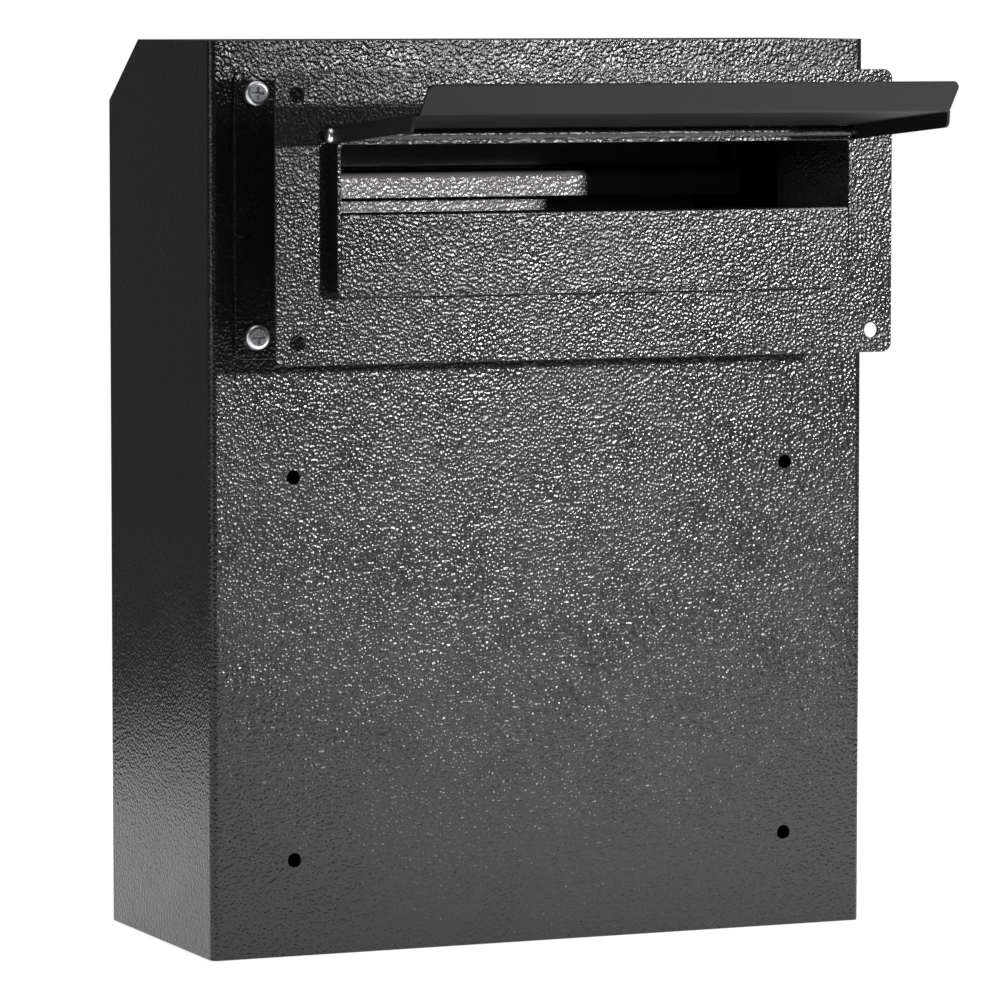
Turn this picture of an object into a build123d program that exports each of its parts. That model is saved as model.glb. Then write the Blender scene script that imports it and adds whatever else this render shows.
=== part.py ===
from build123d import *
import math
import os

# Lengths are in millimetres. Z is up, and the side of the box that goes against the door faces -Y.
# The origin is the centre of the underside of the box.

# The box: a wrap of sheet with a top and a bottom welded between its walls.
BOX_WIDTH = 298.5
BOX_HEIGHT = 381.0
BOX_DEPTH = 127.0
SHEET = 1.5
BEND = 3.0  # outside radius of every bend in this sheet
SLANT_DROP = 28.0
SLANT_RUN = 40.0
JAMB_WIDTH = 16.0
SILL_HEIGHT = 13.0
HEADER_BELOW_TOP = 62.6  # from the top of the box to the lower edge of the header
WELD_GAP = 0.02  # between the edges of two sheets that are welded to each other

# The chute and its two plates. Their sizes follow the width of the box.
CHUTE_BELOW_TOP = 71.9  # from the top of the box to the middle of the chute
CHUTE_HEIGHT = 63.3
CHUTE_CORNER = 3.0
CHUTE_INSIDE_BOX = 10.0
CHUTE_CLEARANCE = 0.5
PLATE_HEIGHT = 119.0
PLATE_CORNER = 4.0
PLATE_FROM_BOX_EDGE = 10.6
CHUTE_FROM_PLATE_EDGE = 23.15
PLATE_HOLE_INSET = 9.3
FACEPLATE_HOLE_RADIUS = 3.25
DOOR_THICKNESS = 46.0  # the building's door, held between the two plates
NOSE_LENGTH = 9.5
SLOT_HEIGHT = 27.5
SLOT_PANEL_RECESS = 0.4
SLOT_HEM = 9.0

# The holes that fasten the box to the door.
MOUNT_HOLE_RADIUS = 3.0
MOUNT_FROM_BOX_EDGE = 36.6
MOUNT_LOW = 40.3
MOUNT_BELOW_PLATE = 49.3

# The screws that hold the inner flange to the box.
SCREW_RADIUS = 2.5
SCREW_HOLE_RADIUS = 2.75
SCREW_LENGTH = 12.0
SCREW_HEAD_RADIUS = 5.3
SCREW_HEAD_HEIGHT = 3.0
SCREW_HEAD_ROUND = 1.8
RECESS_SPAN = 5.4
RECESS_WIDTH = 1.2
RECESS_DEPTH = 1.8
WASHER_RADIUS = 5.0
WASHER_THICKNESS = 1.2
NUT_FLATS = 8.0
NUT_HEIGHT = 4.0

# The flap: one folded sheet with a cheek at each end and a lip to lift it by.
FLAP_SHEET = 1.2
FLAP_OPEN_ANGLE = 4.4  # above the horizontal, in degrees
FLAP_LENGTH = 90.5  # from the hinge line to the bend of the lip
FLAP_BEHIND_HINGE = 2.0
LIP_LENGTH = 15.0
LIP_ANGLE = 45.0
LIP_CORNER = 3.0
LIP_BEND = 2.5
CHEEK_BELOW_HINGE = 3.5
CHEEK_CORNER = 3.2
FLAP_FOLD = 1.0  # outside radius of the folds between panel and cheeks
CHEEK_GAP = 0.8  # between a cheek and the side of the nose
BARREL_RADIUS = 2.2
BARREL_GAP = 0.3  # between the barrel and the sheet of the flap
BARREL_SETBACK = 1.7  # from the front edge of the nose to the hinge line
BARREL_FOOT = 3.0
ROD_RADIUS = 1.5
RUNNING_CLEARANCE = 0.05
ROD_HEAD_RADIUS = 3.1
ROD_HEAD_HEIGHT = 2.3
ROD_HEAD_ROUND = 1.8
ROD_CAP_WALL = 0.7

# The access door at the back of the box.
DOOR_GAP = 1.0
DOOR_STIFFENER = 10.5
DOOR_PROUD = 0.4  # how far the door stands out from its frame, which keeps it off the stop strips
STOP_REACH = 6.0  # how far a stop strip reaches into the doorway
STOP_OVERLAP = 4.5  # how much of it lies on the frame

# The ledge inside the header, which shields the upper edge of the access door.
LEDGE_REACH = 25.5  # from the inside of the header to the back of the ledge's lip
LEDGE_LIP = 10.8
LEDGE_FLANGE = 13.0

# The continuous hinge of the access door.
LEAF_SHEET = 1.2
KNUCKLES = 11
KNUCKLE_RADIUS = 3.2
KNUCKLE_GAP = 0.6
KNUCKLE_LIFT = 0.3
KNUCKLE_RELIEF = 0.6
HINGE_END_MARGIN = 10.0
DOOR_LEAF_WIDTH = 20.0
DOOR_RIVET_FROM_PIN = 12.0
RIVET_RADIUS = 1.6
RIVET_HEAD_RADIUS = 3.2
RIVET_HEAD_HEIGHT = 1.3
RIVET_HEAD_ROUND = 1.0
RIVET_TAIL_RADIUS = 2.6
RIVET_TAIL_HEIGHT = 1.0
RIVETS_PER_LEAF = 5

# The cam lock of the access door.
LOCK_FROM_DOOR_EDGE = 24.0
LOCK_HEAD_RADIUS = 11.0
LOCK_HEAD_HEIGHT = 3.0
LOCK_HEAD_ROUND = 1.5
LOCK_BODY_RADIUS = 9.5
LOCK_BODY_FLATS = 16.5
LOCK_BODY_LENGTH = 11.0
LOCK_HOLE_CLEARANCE = 0.2
LOCK_NUT_FLATS = 24.0
LOCK_NUT_HEIGHT = 3.0
PLUG_RADIUS = 6.0
PLUG_FACE_RADIUS = 7.5
PLUG_FACE_THICKNESS = 1.0
PLUG_END_GAP = 0.4
PLUG_SQUARE = 7.0
KEYWAY_WIDTH = 1.4
KEYWAY_HEIGHT = 8.0
KEYWAY_DEPTH = 9.0
CAM_SHEET = 1.5
CAM_WIDTH = 14.0
CAM_CORNER = 5.6
CAM_STEP_START = 16.0
CAM_STEP_END = 20.0
CAM_LENGTH = 34.0
CAM_TO_STOP = 1.0
CAM_SCREW_RADIUS = 2.0
CAM_SCREW_LENGTH = 6.0
CAM_SCREW_HEAD_RADIUS = 5.5  # covers the square end of the plug
CAM_SCREW_HEAD_HEIGHT = 2.5
CAM_SCREW_HEAD_ROUND = 1.25
CAM_SCREW_SLOT_DEPTH = 1.25

# Planes and lines that the pieces share.
FRONT_Y = -BOX_DEPTH / 2
REAR_Y = BOX_DEPTH / 2
CHUTE_Z = BOX_HEIGHT - CHUTE_BELOW_TOP
PLATE_WIDTH = BOX_WIDTH - 2 * PLATE_FROM_BOX_EDGE
CHUTE_WIDTH = PLATE_WIDTH - 2 * CHUTE_FROM_PLATE_EDGE
CHUTE_TOP = CHUTE_Z + CHUTE_HEIGHT / 2
FLANGE_Y = FRONT_Y - SHEET  # front face of the inner flange
FACEPLATE_Y = FLANGE_Y - DOOR_THICKNESS - SHEET  # front face of the faceplate
NOSE_Y = FACEPLATE_Y - NOSE_LENGTH
CHUTE_END_Y = FRONT_Y + SHEET + CHUTE_INSIDE_BOX
HINGE_Y = NOSE_Y + BARREL_SETBACK
HINGE_Z = CHUTE_TOP + BARREL_RADIUS
HEADER_Z = BOX_HEIGHT - HEADER_BELOW_TOP
OPENING_HALF = BOX_WIDTH / 2 - JAMB_WIDTH
DOOR_HALF = OPENING_HALF - DOOR_GAP
DOOR_BOTTOM = SILL_HEIGHT + DOOR_GAP
DOOR_TOP = HEADER_Z - DOOR_GAP
DOOR_OUTSIDE_Y = REAR_Y + DOOR_PROUD
DOOR_INSIDE_Y = DOOR_OUTSIDE_Y - SHEET
PIN_X = OPENING_HALF - DOOR_GAP / 2
PIN_Y = DOOR_OUTSIDE_Y + KNUCKLE_LIFT + KNUCKLE_RADIUS
LOCK_X = -DOOR_HALF + LOCK_FROM_DOOR_EDGE
LOCK_Z = (DOOR_BOTTOM + DOOR_TOP) / 2


def block(low_x, high_x, low_y, high_y, low_z, high_z):
    """A box between two corners."""
    middle = Pos((low_x + high_x) / 2, (low_y + high_y) / 2, (low_z + high_z) / 2)
    return middle * Box(high_x - low_x, high_y - low_y, high_z - low_z)


def rod_x(radius, y, z, low_x, high_x):
    """A round bar along X."""
    return Pos((low_x + high_x) / 2, y, z) * Rot(0, 90, 0) * Cylinder(radius, high_x - low_x)


def rod_y(radius, x, z, low_y, high_y):
    """A round bar along Y."""
    return Pos(x, (low_y + high_y) / 2, z) * Rot(90, 0, 0) * Cylinder(radius, high_y - low_y)


def rod_z(radius, x, y, low_z, high_z):
    """A round bar along Z."""
    return Pos(x, y, (low_z + high_z) / 2) * Cylinder(radius, high_z - low_z)


def bar_y(outline, x, z, low_y, high_y):
    """An outline drawn in X and Z, carried along Y."""
    plane = Plane(origin=(x, high_y, z), x_dir=(1, 0, 0), z_dir=(0, -1, 0))
    return extrude(plane * outline, high_y - low_y)


def folded_strip(points, bend, sheet):
    """The section of a sheet folded along points; the sheet lies to the right of them."""
    path = FilletPolyline(*points, radius=bend)
    return make_face(offset(path, amount=sheet, side=Side.RIGHT, kind=Kind.INTERSECTION))


def across(section, half_width):
    """A section drawn in Y and Z, carried to both sides along X."""
    return extrude(Plane.YZ * section, half_width, both=True)


def plate_positions():
    """The four corners of the hole pattern that both plates share."""
    half_x = PLATE_WIDTH / 2 - PLATE_HOLE_INSET
    half_z = PLATE_HEIGHT / 2 - PLATE_HOLE_INSET
    return [(x, CHUTE_Z + z) for x in (-half_x, half_x) for z in (-half_z, half_z)]


def mount_positions():
    """The four holes that fasten the box to the door."""
    half_x = BOX_WIDTH / 2 - MOUNT_FROM_BOX_EDGE
    high_z = CHUTE_Z - PLATE_HEIGHT / 2 - MOUNT_BELOW_PLATE
    return [(x, z) for x in (-half_x, half_x) for z in (MOUNT_LOW, high_z)]


def round_front_corners(panel):
    """The two corners that lie in the bends between the front and the sides."""
    return fillet(panel.edges().filter_by(Axis.Z).group_by(Axis.Y)[0], BEND - SHEET)


def make_top_panel():
    """Top, slant and header, folded from one sheet and notched beside the jambs."""
    header_end = (REAR_Y, HEADER_Z)
    lower_bend = (REAR_Y, BOX_HEIGHT - SLANT_DROP)
    upper_bend = (REAR_Y - SLANT_RUN, BOX_HEIGHT)
    front_end = (FRONT_Y + SHEET + WELD_GAP, BOX_HEIGHT)
    section = folded_strip([front_end, upper_bend, lower_bend, header_end], BEND, SHEET)
    panel = round_front_corners(across(section, BOX_WIDTH / 2 - SHEET - WELD_GAP))
    notch_y = REAR_Y - SHEET - WELD_GAP
    notch_z = BOX_HEIGHT - SLANT_DROP - BEND
    for side in (-1, 1):
        inner = side * (OPENING_HALF - WELD_GAP)
        outer = side * BOX_WIDTH / 2
        panel -= block(min(inner, outer), max(inner, outer), notch_y, REAR_Y + 1, 0, notch_z)
    return panel


def make_bottom_panel():
    """The bottom, with the sill of the access door folded up from it."""
    points = [(REAR_Y, SILL_HEIGHT), (REAR_Y, 0), (FRONT_Y + SHEET + WELD_GAP, 0)]
    section = folded_strip(points, BEND, SHEET)
    panel = round_front_corners(across(section, BOX_WIDTH / 2 - SHEET - WELD_GAP))
    for side in (-1, 1):
        inner = side * (OPENING_HALF - WELD_GAP)
        outer = side * BOX_WIDTH / 2
        low_x, high_x = min(inner, outer), max(inner, outer)
        panel -= block(low_x, high_x, REAR_Y - BEND - WELD_GAP, REAR_Y + 1, -1, SILL_HEIGHT + 1)
    return panel


def make_body_shell():
    """Front, sides and the two jambs, folded from one sheet."""
    outer = RectangleRounded(BOX_WIDTH, BOX_DEPTH, BEND)
    inner = RectangleRounded(BOX_WIDTH - 2 * SHEET, BOX_DEPTH - 2 * SHEET, BEND - SHEET)
    shell = extrude(outer - inner, BOX_HEIGHT)
    shell -= block(-OPENING_HALF, OPENING_HALF, 0, REAR_Y + 1, -1, BOX_HEIGHT + 1)

    # The slant takes the upper back corner off both sides.
    beyond = 1.0 + BEND
    fall = SLANT_DROP / SLANT_RUN
    corner = Polyline(
        (REAR_Y - SLANT_RUN - beyond, BOX_HEIGHT + fall * beyond),
        (REAR_Y + beyond, BOX_HEIGHT - SLANT_DROP - fall * beyond),
        (REAR_Y + beyond, BOX_HEIGHT + fall * beyond),
        close=True,
    )
    shell -= across(make_face(corner), BOX_WIDTH)

    # The jambs stop under the slant, where the folded top passes over them.
    jamb_top = BOX_HEIGHT - SLANT_DROP - BEND - WELD_GAP
    inside = BOX_WIDTH / 2 - SHEET
    shell -= block(-inside, inside, REAR_Y - BEND, REAR_Y + 1, jamb_top, BOX_HEIGHT)

    passage = RectangleRounded(
        CHUTE_WIDTH + 2 * CHUTE_CLEARANCE,
        CHUTE_HEIGHT + 2 * CHUTE_CLEARANCE,
        CHUTE_CORNER + CHUTE_CLEARANCE,
    )
    shell -= bar_y(passage, 0, CHUTE_Z, FRONT_Y - 1, FRONT_Y + SHEET + 1)
    for x, z in plate_positions():
        shell -= rod_y(SCREW_HOLE_RADIUS, x, z, FRONT_Y - 1, FRONT_Y + SHEET + 1)
    for x, z in mount_positions():
        shell -= rod_y(MOUNT_HOLE_RADIUS, x, z, FRONT_Y - 1, FRONT_Y + SHEET + 1)
    for z in rivet_heights():
        shell -= rod_y(RIVET_RADIUS, frame_rivet_x(), z, REAR_Y - SHEET - 1, REAR_Y + 1)
    return shell


def make_stop_strips():
    """Four flat strips welded behind the edges of the doorway, which stop the access door."""
    low_y = REAR_Y - 2 * SHEET
    high_y = REAR_Y - SHEET
    inner_x = OPENING_HALF - STOP_REACH
    outer_x = OPENING_HALF + STOP_OVERLAP
    upper_z = HEADER_Z - STOP_REACH
    lower_z = SILL_HEIGHT + STOP_REACH
    return [
        block(-outer_x, outer_x, low_y, high_y, upper_z, HEADER_Z + STOP_OVERLAP),
        block(-outer_x, outer_x, low_y, high_y, SILL_HEIGHT - STOP_OVERLAP, lower_z),
        block(-outer_x, -inner_x, low_y, high_y, lower_z + WELD_GAP, upper_z - WELD_GAP),
        block(inner_x, outer_x, low_y, high_y, lower_z + WELD_GAP, upper_z - WELD_GAP),
    ]


def make_header_ledge():
    """A folded ledge welded inside the header, just above its stop strip."""
    back_y = REAR_Y - SHEET
    low_z = HEADER_Z + STOP_OVERLAP
    points = [
        (back_y, low_z + LEDGE_FLANGE),
        (back_y, low_z),
        (back_y - LEDGE_REACH, low_z),
        (back_y - LEDGE_REACH, low_z - LEDGE_LIP),
    ]
    return across(folded_strip(points, BEND, SHEET), OPENING_HALF + STOP_OVERLAP)


def chute_outline():
    return RectangleRounded(CHUTE_WIDTH, CHUTE_HEIGHT, CHUTE_CORNER)


def make_chute_tube():
    """The rectangular tube from the nose, through both plates, into the box."""
    hollow = RectangleRounded(
        CHUTE_WIDTH - 2 * SHEET, CHUTE_HEIGHT - 2 * SHEET, CHUTE_CORNER - SHEET
    )
    return bar_y(chute_outline() - hollow, 0, CHUTE_Z, NOSE_Y, CHUTE_END_Y)


def make_plate(front_y, hole_radius):
    """A flat plate with rounded corners that fits round the chute."""
    outline = RectangleRounded(PLATE_WIDTH, PLATE_HEIGHT, PLATE_CORNER) - chute_outline()
    plate = bar_y(outline, 0, CHUTE_Z, front_y, front_y + SHEET)
    for x, z in plate_positions():
        plate -= rod_y(hole_radius, x, z, front_y - 1, front_y + SHEET + 1)
    return plate


def make_slot_panel():
    """The panel that closes the lower part of the nose; its upper edge is hemmed for hands."""
    low_z = CHUTE_Z - CHUTE_HEIGHT / 2 + SHEET
    high_z = CHUTE_TOP - SHEET - SLOT_HEIGHT
    front_y = NOSE_Y + SLOT_PANEL_RECESS
    half_width = CHUTE_WIDTH / 2 - SHEET
    corner = CHUTE_CORNER - SHEET
    front = block(-half_width, half_width, front_y, front_y + SHEET, low_z, high_z - SHEET)
    hem = block(
        -half_width, half_width, front_y + SHEET, front_y + 2 * SHEET, high_z - SLOT_HEM, high_z - SHEET
    )
    fold = rod_x(SHEET, front_y + SHEET, high_z - SHEET, -half_width, half_width)
    panel = front + hem + fold
    foot = panel.edges().filter_by(Axis.Y).group_by(Axis.Z)[0]
    return fillet(foot, corner)


def make_hinge_barrel():
    """The tube the flap turns on, with the weld foot that holds it to the nose."""
    half_width = CHUTE_WIDTH / 2
    barrel = rod_x(BARREL_RADIUS, HINGE_Y, HINGE_Z, -half_width, half_width)
    foot_half = BARREL_FOOT / 2
    barrel += block(
        -half_width, half_width, HINGE_Y - foot_half, HINGE_Y + foot_half, CHUTE_TOP, HINGE_Z - ROD_RADIUS
    )
    bore = ROD_RADIUS + RUNNING_CLEARANCE
    return barrel - rod_x(bore, HINGE_Y, HINGE_Z, -half_width - 1, half_width + 1)


def make_flange_screws():
    """Pan head screws with a cross recess, driven from the door side."""
    head_y = FLANGE_Y - SCREW_HEAD_HEIGHT
    screws = []
    for x, z in plate_positions():
        head = rod_y(SCREW_HEAD_RADIUS, x, z, head_y, FLANGE_Y)
        rim = head.edges().group_by(Axis.Y)[0]
        head = fillet(rim, SCREW_HEAD_ROUND)
        screw = head + rod_y(SCREW_RADIUS, x, z, FLANGE_Y, FLANGE_Y + SCREW_LENGTH)
        for width, height in ((RECESS_SPAN, RECESS_WIDTH), (RECESS_WIDTH, RECESS_SPAN)):
            slot = Rectangle(width, height)
            screw -= bar_y(slot, x, z, head_y - 1, head_y + RECESS_DEPTH)
        screws.append(screw)
    return screws


def make_flange_washers():
    low_y = FRONT_Y + SHEET
    washers = []
    for x, z in plate_positions():
        ring = Circle(WASHER_RADIUS) - Circle(SCREW_HOLE_RADIUS)
        washers.append(bar_y(ring, x, z, low_y, low_y + WASHER_THICKNESS))
    return washers


def make_flange_nuts():
    low_y = FRONT_Y + SHEET + WASHER_THICKNESS
    nuts = []
    for x, z in plate_positions():
        hexagon = RegularPolygon(NUT_FLATS / 2, 6, major_radius=False) - Circle(SCREW_RADIUS)
        nuts.append(bar_y(hexagon, x, z, low_y, low_y + NUT_HEIGHT))
    return nuts


def flap_plane():
    """A plane with X along the open flap, away from the hinge line, and Y out of its upper face."""
    angle = math.radians(FLAP_OPEN_ANGLE)
    along = (0, -math.cos(angle), math.sin(angle))
    return Plane(origin=(0, HINGE_Y, HINGE_Z), x_dir=along, z_dir=(-1, 0, 0))


def make_flap():
    """Panel, cheeks and lip, folded from one sheet."""
    inside = BARREL_RADIUS + BARREL_GAP
    outside = inside + FLAP_SHEET
    cheek_inside = CHUTE_WIDTH / 2 + CHEEK_GAP
    half_width = cheek_inside + FLAP_SHEET
    angle = math.radians(LIP_ANGLE)
    lip_end = (FLAP_LENGTH + LIP_LENGTH * math.cos(angle), outside + LIP_LENGTH * math.sin(angle))
    points = [(-FLAP_BEHIND_HINGE, outside), (FLAP_LENGTH, outside), lip_end]
    place = flap_plane()
    flap = extrude(place * folded_strip(points, LIP_BEND, FLAP_SHEET), half_width, both=True)

    # The lip is a little narrower than the panel, and its corners are round.
    cheek_end = FLAP_LENGTH - 2 * FLAP_SHEET
    lip_half = CHUTE_WIDTH / 2
    for side in (-1, 1):
        beside = Pos(cheek_end + LIP_LENGTH, 0, side * (lip_half + half_width) / 2)
        flap -= place * beside * Box(2 * LIP_LENGTH, 4 * LIP_LENGTH, half_width - lip_half)
    lip_corners = flap.edges().filter_by(lambda e: e.length < 1.01 * FLAP_SHEET).sort_by(Axis.Y)[:2]
    flap = fillet(lip_corners, LIP_CORNER)

    # The cheeks run down both sides, beside the nose when the flap is closed.
    cheek = Polyline(
        (-CHEEK_BELOW_HINGE, outside),
        (cheek_end, outside),
        (cheek_end - FLAP_SHEET, -CHEEK_BELOW_HINGE),
        (-CHEEK_BELOW_HINGE, -CHEEK_BELOW_HINGE),
        close=True,
    )
    outline = make_face(cheek)
    outline = fillet(outline.vertices().group_by(Axis.Y)[0], CHEEK_CORNER)
    outline -= Circle(ROD_RADIUS)
    for side in (-1, 1):
        start = cheek_inside if side > 0 else -half_width
        flap += extrude(place * Pos(0, 0, start) * outline, FLAP_SHEET)

    # The folds between panel and cheeks are round outside.
    folds = flap.edges().filter_by(lambda e: e.length > FLAP_LENGTH / 2)
    folds = folds.filter_by(lambda e: abs(e.tangent_at(0).X) < 0.1)
    rim = [e for e in folds if abs(abs(e.center().X) - half_width) < 0.01]
    rim = [e for e in rim if place.to_local_coords(e.center()).Y > outside - 0.1]
    return fillet(rim, FLAP_FOLD)


def make_flap_rod():
    """The rod in the barrel, with a domed head at its left end."""
    reach = CHUTE_WIDTH / 2 + CHEEK_GAP + FLAP_SHEET
    cap_depth = ROD_HEAD_HEIGHT - ROD_CAP_WALL
    shank = rod_x(ROD_RADIUS, HINGE_Y, HINGE_Z, -reach, reach + cap_depth)
    head = rod_x(ROD_HEAD_RADIUS, HINGE_Y, HINGE_Z, -reach - ROD_HEAD_HEIGHT, -reach)
    head = fillet(head.edges().group_by(Axis.X)[0], ROD_HEAD_ROUND)
    return shank + head


def make_rod_cap():
    """The cap pressed onto the right end of the rod."""
    reach = CHUTE_WIDTH / 2 + CHEEK_GAP + FLAP_SHEET
    cap = rod_x(ROD_HEAD_RADIUS, HINGE_Y, HINGE_Z, reach, reach + ROD_HEAD_HEIGHT)
    cap = fillet(cap.edges().group_by(Axis.X)[-1], ROD_HEAD_ROUND)
    cap_depth = ROD_HEAD_HEIGHT - ROD_CAP_WALL
    return cap - rod_x(ROD_RADIUS, HINGE_Y, HINGE_Z, reach - 1, reach + cap_depth)


def make_door_panel():
    """The access door: a flat sheet with a stiffening strip near its top and its bottom."""
    door = block(-DOOR_HALF, DOOR_HALF, DOOR_INSIDE_Y, DOOR_OUTSIDE_Y, DOOR_BOTTOM, DOOR_TOP)
    strip_y = DOOR_INSIDE_Y - SHEET
    clear = STOP_REACH + DOOR_GAP
    strip_half = OPENING_HALF - clear
    upper_z = HEADER_Z - clear
    lower_z = SILL_HEIGHT + clear
    door += block(-strip_half, strip_half, strip_y, DOOR_INSIDE_Y, upper_z - DOOR_STIFFENER, upper_z)
    door += block(-strip_half, strip_half, strip_y, DOOR_INSIDE_Y, lower_z, lower_z + DOOR_STIFFENER)

    opening = Circle(LOCK_BODY_RADIUS + LOCK_HOLE_CLEARANCE)
    opening &= Rectangle(
        LOCK_BODY_FLATS + 2 * LOCK_HOLE_CLEARANCE, 2 * (LOCK_BODY_RADIUS + LOCK_HOLE_CLEARANCE)
    )
    door -= bar_y(opening, LOCK_X, LOCK_Z, DOOR_INSIDE_Y - 1, DOOR_OUTSIDE_Y + 1)
    for z in rivet_heights():
        door -= rod_y(RIVET_RADIUS, door_rivet_x(), z, DOOR_INSIDE_Y - 1, DOOR_OUTSIDE_Y + 1)
    return door


def hinge_span():
    """The lower and upper ends of the continuous hinge."""
    return DOOR_BOTTOM + HINGE_END_MARGIN, DOOR_TOP - HINGE_END_MARGIN


def rivet_heights():
    low_z, high_z = hinge_span()
    pitch = (high_z - low_z) / RIVETS_PER_LEAF
    return [low_z + (index + 0.5) * pitch for index in range(RIVETS_PER_LEAF)]


def door_rivet_x():
    return PIN_X - DOOR_RIVET_FROM_PIN


def frame_rivet_x():
    return PIN_X + (KNUCKLE_RADIUS + frame_leaf_width()) / 2


def frame_leaf_width():
    """The frame leaf covers the flat of the jamb."""
    return BOX_WIDTH / 2 - BEND - PIN_X


def make_leaf(low_x, high_x, low_y, own_knuckles, bore):
    """One leaf of the continuous hinge: a plate, its own knuckles, and reliefs for the others."""
    low_z, high_z = hinge_span()
    pitch = (high_z - low_z) / KNUCKLES
    leaf = block(low_x, high_x, low_y, low_y + LEAF_SHEET, low_z, high_z)
    clear = KNUCKLE_RADIUS + KNUCKLE_RELIEF
    for index in range(KNUCKLES):
        start = low_z + index * pitch
        end = start + pitch
        if index % 2 == own_knuckles:
            start += KNUCKLE_GAP / 2
            end -= KNUCKLE_GAP / 2
            leaf += rod_z(KNUCKLE_RADIUS, PIN_X, PIN_Y, start, end)
        else:
            start -= KNUCKLE_GAP / 2
            end += KNUCKLE_GAP / 2
            leaf -= block(PIN_X - clear, PIN_X + clear, low_y - 1, PIN_Y, start, end)
    leaf -= rod_z(bore, PIN_X, PIN_Y, low_z - 1, high_z + 1)
    return leaf


def make_frame_leaf():
    high_x = PIN_X + frame_leaf_width()
    leaf = make_leaf(PIN_X, high_x, REAR_Y, 0, ROD_RADIUS)
    for z in rivet_heights():
        leaf -= rod_y(RIVET_RADIUS, frame_rivet_x(), z, REAR_Y - 1, REAR_Y + LEAF_SHEET + 1)
    return leaf


def make_door_leaf():
    bore = ROD_RADIUS + RUNNING_CLEARANCE
    leaf = make_leaf(PIN_X - DOOR_LEAF_WIDTH, PIN_X, DOOR_OUTSIDE_Y, 1, bore)
    for z in rivet_heights():
        high_y = DOOR_OUTSIDE_Y + LEAF_SHEET + 1
        leaf -= rod_y(RIVET_RADIUS, door_rivet_x(), z, DOOR_OUTSIDE_Y - 1, high_y)
    return leaf


def make_hinge_pin():
    low_z, high_z = hinge_span()
    return rod_z(ROD_RADIUS, PIN_X, PIN_Y, low_z, high_z)


def make_rivets(x, inside_y, outside_y):
    """A row of rivets with a domed head outside and a spread tail inside."""
    rivets = []
    for z in rivet_heights():
        head = rod_y(RIVET_HEAD_RADIUS, x, z, outside_y, outside_y + RIVET_HEAD_HEIGHT)
        head = fillet(head.edges().group_by(Axis.Y)[-1], RIVET_HEAD_ROUND)
        shank = rod_y(RIVET_RADIUS, x, z, inside_y, outside_y)
        tail = rod_y(RIVET_TAIL_RADIUS, x, z, inside_y - RIVET_TAIL_HEIGHT, inside_y)
        rivets.append(head + shank + tail)
    return rivets


def lock_barrel_end():
    return DOOR_OUTSIDE_Y - LOCK_BODY_LENGTH


def make_lock_body():
    """The round head and the flatted barrel of the cam lock, bored for its plug."""
    head_y = DOOR_OUTSIDE_Y + LOCK_HEAD_HEIGHT
    head = rod_y(LOCK_HEAD_RADIUS, LOCK_X, LOCK_Z, DOOR_OUTSIDE_Y, head_y)
    head = fillet(head.edges().group_by(Axis.Y)[-1], LOCK_HEAD_ROUND)
    outline = Circle(LOCK_BODY_RADIUS) & Rectangle(LOCK_BODY_FLATS, 2 * LOCK_BODY_RADIUS)
    body = head + bar_y(outline, LOCK_X, LOCK_Z, lock_barrel_end(), DOOR_OUTSIDE_Y)
    plug_bore = PLUG_RADIUS + RUNNING_CLEARANCE
    face_bore = PLUG_FACE_RADIUS + RUNNING_CLEARANCE
    face_depth = PLUG_FACE_THICKNESS + 2 * PLUG_END_GAP
    body -= rod_y(plug_bore, LOCK_X, LOCK_Z, lock_barrel_end() - 1, head_y + 1)
    body -= rod_y(face_bore, LOCK_X, LOCK_Z, head_y - face_depth, head_y + 1)
    return body


def make_lock_nut():
    """The hexagonal nut that clamps the lock to the door."""
    hole = Circle(LOCK_BODY_RADIUS) & Rectangle(LOCK_BODY_FLATS, 2 * LOCK_BODY_RADIUS)
    outline = RegularPolygon(LOCK_NUT_FLATS / 2, 6, major_radius=False) - hole
    return bar_y(outline, LOCK_X, LOCK_Z, DOOR_INSIDE_Y - LOCK_NUT_HEIGHT, DOOR_INSIDE_Y)


def cam_outside_y():
    """The face of the cam hub that meets the shoulder of the plug."""
    return lock_barrel_end() - PLUG_END_GAP


def make_lock_plug():
    """The turning plug, with the keyway in its face and a square end for the cam."""
    face_y = DOOR_OUTSIDE_Y + LOCK_HEAD_HEIGHT - PLUG_END_GAP
    shoulder_y = cam_outside_y()
    plug = rod_y(PLUG_RADIUS, LOCK_X, LOCK_Z, shoulder_y, face_y)
    plug += rod_y(PLUG_FACE_RADIUS, LOCK_X, LOCK_Z, face_y - PLUG_FACE_THICKNESS, face_y)
    square = Rectangle(PLUG_SQUARE, PLUG_SQUARE)
    plug += bar_y(square, LOCK_X, LOCK_Z, shoulder_y - CAM_SHEET, shoulder_y)
    keyway = Rectangle(KEYWAY_WIDTH, KEYWAY_HEIGHT)
    plug -= bar_y(keyway, LOCK_X, LOCK_Z, face_y - KEYWAY_DEPTH, face_y + 1)
    screw_end = shoulder_y - CAM_SHEET + CAM_SCREW_LENGTH
    plug -= rod_y(CAM_SCREW_RADIUS, LOCK_X, LOCK_Z, shoulder_y - CAM_SHEET - 1, screw_end)
    return plug


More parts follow.
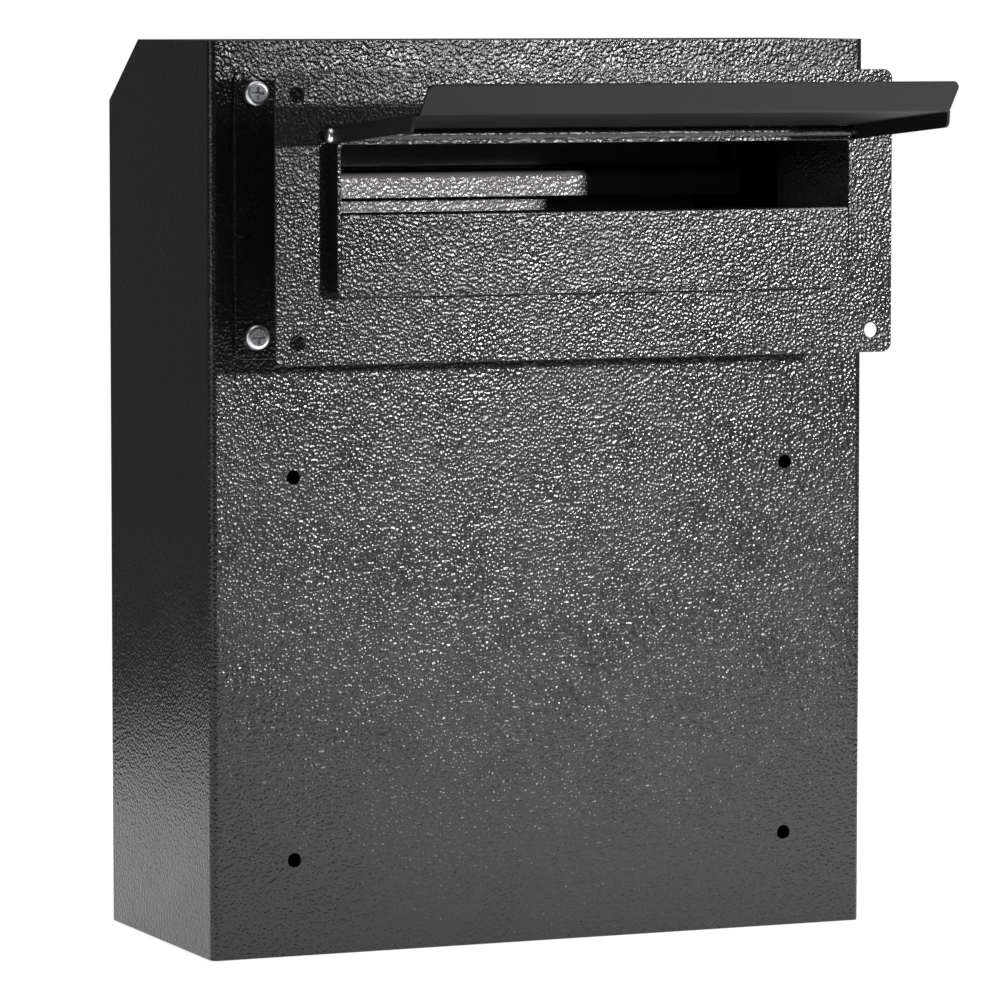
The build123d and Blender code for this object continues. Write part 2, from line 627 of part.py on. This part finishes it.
def make_lock_cam():
    """The stepped cam, hanging down: the lock is open."""
    near_y = cam_outside_y()
    far_y = REAR_Y - 2 * SHEET - CAM_TO_STOP
    points = [
        (near_y, CAM_WIDTH / 2),
        (near_y, -CAM_STEP_START),
        (far_y, -CAM_STEP_END),
        (far_y, -CAM_LENGTH),
    ]
    section = folded_strip(points, CAM_SHEET, CAM_SHEET)
    cam = Pos(LOCK_X, 0, LOCK_Z) * across(section, CAM_WIDTH / 2)
    ends = cam.edges().filter_by(Axis.Y)
    ends = ends.group_by(Axis.Z)[0] + ends.group_by(Axis.Z)[-1]
    cam = fillet(ends, CAM_CORNER)
    square = Rectangle(PLUG_SQUARE, PLUG_SQUARE)
    return cam - bar_y(square, LOCK_X, LOCK_Z, near_y - CAM_SHEET - 1, near_y + 1)


def make_cam_screw():
    seat_y = cam_outside_y() - CAM_SHEET
    head_end = seat_y - CAM_SCREW_HEAD_HEIGHT
    head = rod_y(CAM_SCREW_HEAD_RADIUS, LOCK_X, LOCK_Z, head_end, seat_y)
    screw = fillet(head.edges().group_by(Axis.Y)[0], CAM_SCREW_HEAD_ROUND)
    screw += rod_y(CAM_SCREW_RADIUS, LOCK_X, LOCK_Z, seat_y, seat_y + CAM_SCREW_LENGTH)
    slot = Rectangle(CAM_SCREW_HEAD_RADIUS * 2, RECESS_WIDTH)
    return screw - bar_y(slot, LOCK_X, LOCK_Z, head_end - 1, head_end + CAM_SCREW_SLOT_DEPTH)


def write_node(name, shape):
    """Write one sub-part; a list of separate solids becomes one file."""
    if isinstance(shape, list):
        shape = Compound(children=shape)
    export_step(shape, f"parts/{name}.step")


os.makedirs("parts", exist_ok=True)
write_node("body_shell", make_body_shell())
write_node("top_panel", make_top_panel())
write_node("bottom_panel", make_bottom_panel())
write_node("stop_strips", make_stop_strips())
write_node("header_ledge", make_header_ledge())
write_node("chute_tube", make_chute_tube())
write_node("faceplate", make_plate(FACEPLATE_Y, FACEPLATE_HOLE_RADIUS))
write_node("inner_flange", make_plate(FLANGE_Y, SCREW_HOLE_RADIUS))
write_node("slot_panel", make_slot_panel())
write_node("hinge_barrel", make_hinge_barrel())
write_node("flange_screws", make_flange_screws())
write_node("flange_washers", make_flange_washers())
write_node("flange_nuts", make_flange_nuts())
write_node("flap", make_flap())
write_node("flap_rod", make_flap_rod())
write_node("flap_rod_cap", make_rod_cap())
write_node("access_door", make_door_panel())
write_node("frame_leaf", make_frame_leaf())
write_node("frame_leaf_rivets", make_rivets(frame_rivet_x(), REAR_Y - SHEET, REAR_Y + LEAF_SHEET))
write_node("door_leaf", make_door_leaf())
write_node("door_leaf_rivets", make_rivets(door_rivet_x(), DOOR_INSIDE_Y, DOOR_OUTSIDE_Y + LEAF_SHEET))
write_node("door_hinge_pin", make_hinge_pin())
write_node("lock_body", make_lock_body())
write_node("lock_nut", make_lock_nut())
write_node("lock_plug", make_lock_plug())
write_node("lock_cam", make_lock_cam())
write_node("cam_screw", make_cam_screw())
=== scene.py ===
import math

import bmesh
import bpy
from mathutils import Euler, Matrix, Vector

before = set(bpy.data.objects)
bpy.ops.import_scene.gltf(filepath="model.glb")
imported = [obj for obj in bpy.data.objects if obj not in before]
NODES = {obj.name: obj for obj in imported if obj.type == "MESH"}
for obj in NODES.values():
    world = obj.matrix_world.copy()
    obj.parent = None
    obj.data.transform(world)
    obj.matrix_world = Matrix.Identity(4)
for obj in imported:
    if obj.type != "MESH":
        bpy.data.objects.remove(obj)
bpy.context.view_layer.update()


# ---- Camera ---------------------------------------------------------------------------------------
# A long lens, which keeps the upright edges nearly parallel. It stands to the front left, a little
# above the top of the box, and is tipped down slightly.
camera_data = bpy.data.cameras.new("camera")
camera_data.lens = 218.8
camera_data.sensor_width = 36.0
camera_data.clip_end = 50.0
camera = bpy.data.objects.new("camera", camera_data)
camera.location = (-1.0065, -2.412, 0.3974)
camera.rotation_euler = Euler((math.radians(90 - 4.70), 0, math.radians(-22.79)))
bpy.context.scene.collection.objects.link(camera)
bpy.context.scene.camera = camera


# ---- Studio ---------------------------------------------------------------------------------------
# A white table that glows a little by itself, a white backdrop that only the camera sees, a small
# hard lamp that makes the grains of the paint sparkle, and soft boxes for the broad sheen.
FLOOR_SIDE = 1.5
FLOOR_FRONT = -1.1
FLOOR_BACK = 0.62
FLOOR_LEVEL = -0.0005  # just under the box, so that the two faces don't coincide
FLOOR_GLOW = 0.78
ROOM_GLOW = 0.10  # what the object sees around it
BACKDROP_GLOW = 1.0  # what the camera sees around it
WHITE = (1, 1, 1, 1)


class Socket:
    """One output of a node tree, with arithmetic that adds Math nodes."""

    def __init__(self, tree, output):
        self.tree = tree
        self.output = output

    def math(self, operation, first, second):
        values = {0: first, 1: second}
        return self.tree.add("ShaderNodeMath", {"operation": operation}, values)["Value"]

    def __add__(self, other):
        return self.math("ADD", self, other)

    def __radd__(self, other):
        return self.math("ADD", other, self)

    def __sub__(self, other):
        return self.math("SUBTRACT", self, other)

    def __rsub__(self, other):
        return self.math("SUBTRACT", other, self)

    def __mul__(self, other):
        return self.math("MULTIPLY", self, other)

    def __rmul__(self, other):
        return self.math("MULTIPLY", other, self)

    def ramp(self, low, high):
        """0 at low, 1 at high, straight between."""
        share = (self - low) * (1.0 / (high - low))
        return self.math("MINIMUM", self.math("MAXIMUM", share, 0.0), 1.0)


class Outputs:
    """The outputs of one node, by name or by number."""

    def __init__(self, tree, node):
        self.tree = tree
        self.node = node

    def __getitem__(self, key):
        return Socket(self.tree, self.node.outputs[key])


class Tree:
    """A node tree that is put together node by node."""

    def __init__(self, owner):
        owner.use_nodes = True
        self.nodes = owner.node_tree.nodes
        self.links = owner.node_tree.links
        self.nodes.clear()

    def add(self, kind, settings=None, values=None):
        node = self.nodes.new(kind)
        for name, value in (settings or {}).items():
            setattr(node, name, value)
        for name, value in (values or {}).items():
            if isinstance(value, Socket):
                self.links.new(value.output, node.inputs[name])
            else:
                node.inputs[name].default_value = value
        return Outputs(self, node)


class Finish(Tree):
    """A material whose grain lies in the object's own coordinates."""

    def __init__(self, name):
        self.material = bpy.data.materials.new(name)
        super().__init__(self.material)
        self.coordinates = self.add("ShaderNodeTexCoord")
        self.place = self.coordinates["Object"]

    def noise(self, scale, detail=2.0, roughness=0.5):
        values = {"Vector": self.place, "Scale": scale, "Detail": detail, "Roughness": roughness}
        return self.add("ShaderNodeTexNoise", None, values)["Fac"]

    def cells(self, scale, smoothness):
        settings = {"feature": "SMOOTH_F1"}
        values = {"Vector": self.place, "Scale": scale, "Smoothness": smoothness}
        return self.add("ShaderNodeTexVoronoi", settings, values)["Distance"]

    def mix(self, factor, first, second):
        """A colour between two colours."""
        return self.add("ShaderNodeMix", {"data_type": "RGBA"}, {0: factor, 6: first, 7: second})[2]

    def soft_edges(self, radius):
        """The normal where a coat draws over the edges of a sheet and rounds them."""
        return self.add("ShaderNodeBevel", {"samples": 4}, {"Radius": radius})["Normal"]

    def bump(self, height, distance, strength, normal=None):
        values = {"Height": height, "Distance": distance, "Strength": strength}
        if normal is not None:
            values["Normal"] = normal
        return self.add("ShaderNodeBump", None, values)["Normal"]

    def surface(self, **values):
        named = {name.replace("_", " "): value for name, value in values.items()}
        shader = self.add("ShaderNodeBsdfPrincipled", None, named)["BSDF"]
        self.add("ShaderNodeOutputMaterial", None, {"Surface": shader})
        return self.material


def place_light(name, kind, place, aim, power):
    """A light at place, facing aim."""
    data = bpy.data.lights.new(name, kind)
    data.energy = power
    light = bpy.data.objects.new(name, data)
    light.location = place
    light.rotation_euler = (Vector(aim) - Vector(place)).to_track_quat("-Z", "Y").to_euler()
    bpy.context.scene.collection.objects.link(light)
    return data


def soft_box(name, place, aim, width, height, power):
    """A rectangular area light."""
    data = place_light(name, "AREA", place, aim, power)
    data.shape = "RECTANGLE"
    data.size = width
    data.size_y = height


def hard_spot(name, place, aim, radius, cone, power):
    """A small lamp whose beam fades evenly from its middle to the edge of its cone, in degrees."""
    data = place_light(name, "SPOT", place, aim, power)
    data.shadow_soft_size = radius
    data.spot_size = math.radians(cone)
    data.spot_blend = 1.0


def new_piece(name, mesh_builder):
    """A mesh object made by a function that fills a bmesh."""
    mesh = bpy.data.meshes.new(name)
    shape = bmesh.new()
    mesh_builder(shape)
    bmesh.ops.recalc_face_normals(shape, faces=shape.faces)
    shape.to_mesh(mesh)
    shape.free()
    piece = bpy.data.objects.new(name, mesh)
    bpy.context.scene.collection.objects.link(piece)
    return piece


def lay_floor(shape):
    corners = [(-FLOOR_SIDE, FLOOR_FRONT), (FLOOR_SIDE, FLOOR_FRONT)]
    corners += [(FLOOR_SIDE, FLOOR_BACK), (-FLOOR_SIDE, FLOOR_BACK)]
    shape.faces.new([shape.verts.new((x, y, FLOOR_LEVEL)) for x, y in corners])


floor = new_piece("floor", lay_floor)
floor_finish = Finish("studio_white")
floor_tone = floor_finish.noise(1.5)
floor_colour = floor_finish.mix(floor_tone, (0.90, 0.90, 0.90, 1), (0.94, 0.94, 0.94, 1))
floor.data.materials.append(floor_finish.surface(
    Base_Color=floor_colour, Roughness=0.9, Emission_Color=WHITE, Emission_Strength=FLOOR_GLOW))

world = bpy.data.worlds.new("studio_surround")
surround = Tree(world)
seen = surround.add("ShaderNodeLightPath")["Is Camera Ray"]
room = surround.add("ShaderNodeBackground", None, {"Color": WHITE, "Strength": ROOM_GLOW})["Background"]
beyond = {"Color": WHITE, "Strength": BACKDROP_GLOW}
backdrop = surround.add("ShaderNodeBackground", None, beyond)["Background"]
either = surround.add("ShaderNodeMixShader", None, {"Fac": seen, 1: room, 2: backdrop})["Shader"]
surround.add("ShaderNodeOutputWorld", None, {"Surface": either})
bpy.context.scene.world = world
bpy.context.scene.view_settings.view_transform = "Standard"

hard_spot("hard_lamp", (0.86, -2.30, 0.535), (0.06, -0.08, 0.22), 0.045, 14.0, 110.0)
soft_box("overhead", (0.0, -0.2, 2.1), (0.0, -0.1, 0.0), 2.4, 2.4, 20.0)
soft_box("table_front", (0.30, -0.45, 0.50), (0.30, -0.45, 0.0), 0.5, 0.3, 5.0)
soft_box("fill_left", (-2.4, -0.9, 0.5), (-0.15, 0.0, 0.25), 0.25, 1.3, 6.0)


# ---- Box and chute plates ---------------------------------------------------------------------------
# Folded sheet steel, sprayed with black powder that draws up into small rounded grains as it bakes:
# a hard, glossy hammered skin with dust between the grains, drawn round over the cut edges. On the
# ledge and the access door the faces that look to the front are painted lighter grey, a painted
# highlight for the lamp light that falls on them through the slot.
GRAIN_SIZE = 0.0013  # metres from grain to grain
GRAIN_HEIGHT = 0.00019  # from the hollow between two grains to their tops
DUST = 0.35  # how much of the dusty colour the dirtiest hollows have
COAT_EDGE = 0.0006  # radius to which the coat rounds a cut edge


def hammered_coat(name, front_painted_lit=False):
    """Black hammered powder, dust between the grains, if asked a painted highlight: grey front faces."""
    paint = Finish(name)
    grains = paint.cells(1.0 / GRAIN_SIZE, 0.6)
    fine = paint.noise(1500.0, 3.0)
    patches = paint.noise(28.0, 3.0)
    dust = grains.ramp(0.45, 0.75) * patches.ramp(0.35, 0.7) * DUST
    black = paint.mix(dust, (0.0045, 0.0045, 0.0047, 1), (0.0117, 0.0117, 0.0112, 1))
    # Painted highlight: grey for the faces that look to the front, which the lamp lights through the slot.
    grey = paint.mix(patches.ramp(0.3, 0.7), (0.40, 0.38, 0.375, 1), (0.30, 0.28, 0.275, 1))
    colour = black
    if front_painted_lit:
        facing = paint.add("ShaderNodeSeparateXYZ", None, {"Vector": paint.coordinates["Normal"]})["Y"]
        colour = paint.mix(facing.ramp(-0.7, -0.95), black, grey)
    roughness = 0.14 + patches * 0.08 + dust * 0.4
    height = (1 - grains) + fine * 0.12
    normal = paint.bump(height, GRAIN_HEIGHT, 1.0, paint.soft_edges(COAT_EDGE))
    return paint.surface(Base_Color=colour, Roughness=roughness, Normal=normal)


def wear(node, finish):
    """Puts one finish on every material slot of a CAD node."""
    mesh = NODES[node].data
    if not mesh.materials:
        mesh.materials.append(finish)
    for index in range(len(mesh.materials)):
        mesh.materials[index] = finish


box_coat = hammered_coat("hammered_black")
for node in ("body_shell", "top_panel", "bottom_panel", "stop_strips", "inner_flange", "faceplate",
             "chute_tube", "slot_panel", "hinge_barrel", "frame_leaf", "door_leaf"):
    wear(node, box_coat)
# Painted highlight: the front faces of the ledge and the access door are painted lighter grey.
inside_coat = hammered_coat("hammered_front_painted_lit", True)
wear("access_door", inside_coat)
wear("header_ledge", inside_coat)


# ---- Flap -------------------------------------------------------------------------------------------
# One sheet folded into a panel, two cheeks and a lip, and coated in smooth satin black of an uneven
# sheen.
SATIN_EDGE = 0.0005  # radius to which this thinner coat rounds a cut edge


def satin_black(name):
    paint = Finish(name)
    fine = paint.noise(900.0, 3.0)
    patches = paint.noise(22.0, 3.0)
    colour = paint.mix(patches.ramp(0.3, 0.7), (0.004, 0.004, 0.004, 1), (0.007, 0.007, 0.007, 1))
    roughness = 0.42 + patches * 0.12
    normal = paint.bump(fine, 0.00003, 0.6, paint.soft_edges(SATIN_EDGE))
    return paint.surface(
        Base_Color=colour, Roughness=roughness, Normal=normal, Specular_IOR_Level=0.2)


wear("flap", satin_black("satin_black"))


# ---- Screws, nuts, rivets and rods ------------------------------------------------------------------
# Small steel hardware, bright zinc plated after it was headed, with a fine unevenness and a soft
# haze.
def bright_zinc(name):
    metal = Finish(name)
    fine = metal.noise(1800.0, 4.0, 0.7)
    haze = metal.noise(160.0, 3.0)
    colour = metal.mix(haze.ramp(0.3, 0.75), (0.74, 0.75, 0.77, 1), (0.52, 0.53, 0.55, 1))
    roughness = 0.17 + haze * 0.25
    normal = metal.bump(fine, 0.00004, 0.7)
    return metal.surface(Base_Color=colour, Metallic=1.0, Roughness=roughness, Normal=normal)


zinc = bright_zinc("bright_zinc")
for node in ("flange_screws", "flange_washers", "flange_nuts", "flap_rod", "flap_rod_cap",
             "frame_leaf_rivets", "door_leaf_rivets", "door_hinge_pin", "lock_nut", "lock_cam", "cam_screw"):
    wear(node, zinc)


# ---- Lock -------------------------------------------------------------------------------------------
# A die cast cam lock, nickel and chrome plated, smooth and bright, with a faint haze and a very fine
# unevenness.
def lock_chrome(name):
    metal = Finish(name)
    fine = metal.noise(2400.0, 4.0, 0.8)
    haze = metal.noise(220.0, 3.0)
    colour = metal.mix(haze.ramp(0.4, 0.8), (0.80, 0.80, 0.82, 1), (0.62, 0.62, 0.64, 1))
    roughness = 0.10 + haze * 0.16
    normal = metal.bump(fine, 0.00001, 0.5)
    return metal.surface(Base_Color=colour, Metallic=1.0, Roughness=roughness, Normal=normal)


chrome = lock_chrome("lock_chrome")
wear("lock_body", chrome)
wear("lock_plug", chrome)
